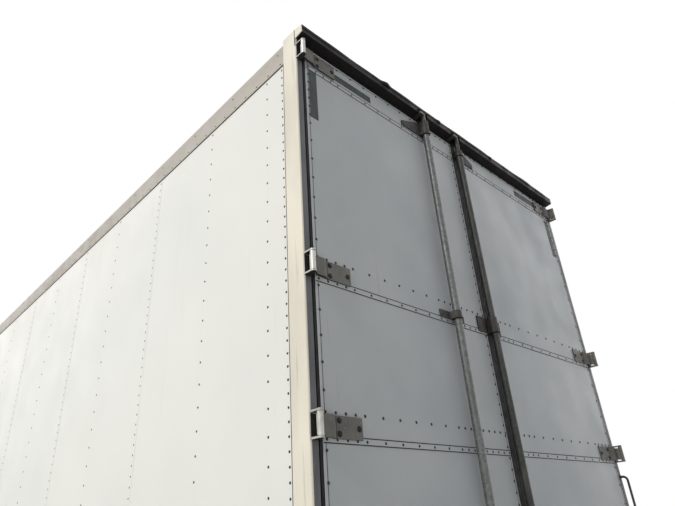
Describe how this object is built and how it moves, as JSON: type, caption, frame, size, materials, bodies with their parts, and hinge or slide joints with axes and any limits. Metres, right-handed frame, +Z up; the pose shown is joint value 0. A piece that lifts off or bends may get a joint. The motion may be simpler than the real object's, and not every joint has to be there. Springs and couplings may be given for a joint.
{
  "type": "dry van semi trailer",
  "caption": "Box van semi trailer with riveted sheet sides, swinging rear doors on lock rods, sliding tandem axles, landing legs and a kingpin coupling.",
  "frame": {"origin": "on the ground, under the middle of the whole outline", "axes": "+Y to the front, where the kingpin is; +X to the kerb side; +Z up"},
  "size_m": [2.591, 14.796, 4.115],
  "materials": {
    "white_sheet": "satin, weathered",
    "cream_post": "satin, weathered",
    "aluminium_rail": "satin, weathered",
    "roof_sheet": "dull",
    "zinc_steel": "dull zinc",
    "dark_steel": "satin black",
    "header_black": "satin black",
    "rubber_black": "matt",
    "tyre_rubber": "matt",
    "wheel_white": "gloss, dusty",
    "floor_wood": "oiled, worn",
    "lamp_red": "clear gloss",
    "lamp_amber": "clear gloss",
    "machined_steel": "greased",
    "post_steel": "satin, weathered"
  },
  "bodies": {
    "van_body": {"air_tank": "dark_steel", "axles": "dark_steel", "bottom_rails": "aluminium_rail", "brake_chambers": "dark_steel", "corner_posts": "cream_post", "coupler_plate": "dark_steel", "crossmembers": "dark_steel", "equalisers": "dark_steel", "floor": "floor_wood", "front_bands": "aluminium_rail", "front_couplings": "dark_steel", "front_wall": "white_sheet", "grab_handle": "dark_steel", "header_drip_rail": "header_black", "hinge_butts": "zinc_steel", "kingpin": "machined_steel", "landing_bracing": "dark_steel", "landing_legs": "dark_steel", "leaf_springs": "dark_steel", "mud_flaps": "rubber_black", "rear_bumper": "dark_steel", "rear_header": "header_black", "rear_lamps": "lamp_red", "rear_sill": "post_steel", "rod_keepers": "dark_steel", "roof": "roof_sheet", "roof_bows": "aluminium_rail", "side_markers": "lamp_amber", "side_wall_left": "white_sheet", "side_wall_right": "white_sheet", "slide_rails": "dark_steel", "tandem_frame": "dark_steel", "top_rails": "aluminium_rail"},
    "left_door": {"door_panel_left": "white_sheet", "door_seal_left": "rubber_black", "door_hinges_left": "zinc_steel", "lock_rod_left": "zinc_steel", "rod_brackets_left": "zinc_steel"},
    "right_door": {"door_panel_right": "white_sheet", "door_seal_right": "rubber_black", "door_hinges_right": "zinc_steel", "lock_rod_right": "zinc_steel", "rod_brackets_right": "zinc_steel"},
    "rear_left_twin_wheel": {"tyres_rear_left": "tyre_rubber", "wheel_rear_left": "wheel_white"},
    "rear_right_twin_wheel": {"tyres_rear_right": "tyre_rubber", "wheel_rear_right": "wheel_white"},
    "front_left_twin_wheel": {"tyres_front_left": "tyre_rubber", "wheel_front_left": "wheel_white"},
    "front_right_twin_wheel": {"tyres_front_right": "tyre_rubber", "wheel_front_right": "wheel_white"}
  },
  "joints": [
    {"name": "left_door_swing", "type": "hinge", "parent": "van_body", "child": "left_door", "pos_m": [-1.2835, -7.366, 2.7], "axis": [0, 0, -1], "range_deg": [0, 260]},
    {"name": "right_door_swing", "type": "hinge", "parent": "van_body", "child": "right_door", "pos_m": [1.2835, -7.366, 2.7], "axis": [0, 0, 1], "range_deg": [0, 260]},
    {"name": "rear_left_wheel_spin", "type": "hinge", "parent": "van_body", "child": "rear_left_twin_wheel", "pos_m": [-0.98425, -5.422, 0.52], "axis": [-1, 0, 0], "continuous": true},
    {"name": "rear_right_wheel_spin", "type": "hinge", "parent": "van_body", "child": "rear_right_twin_wheel", "pos_m": [0.98425, -5.422, 0.52], "axis": [-1, 0, 0], "continuous": true},
    {"name": "front_left_wheel_spin", "type": "hinge", "parent": "van_body", "child": "front_left_twin_wheel", "pos_m": [-0.98425, -4.177, 0.52], "axis": [-1, 0, 0], "continuous": true},
    {"name": "front_right_wheel_spin", "type": "hinge", "parent": "van_body", "child": "front_right_twin_wheel", "pos_m": [0.98425, -4.177, 0.52], "axis": [-1, 0, 0], "continuous": true}
  ]
}
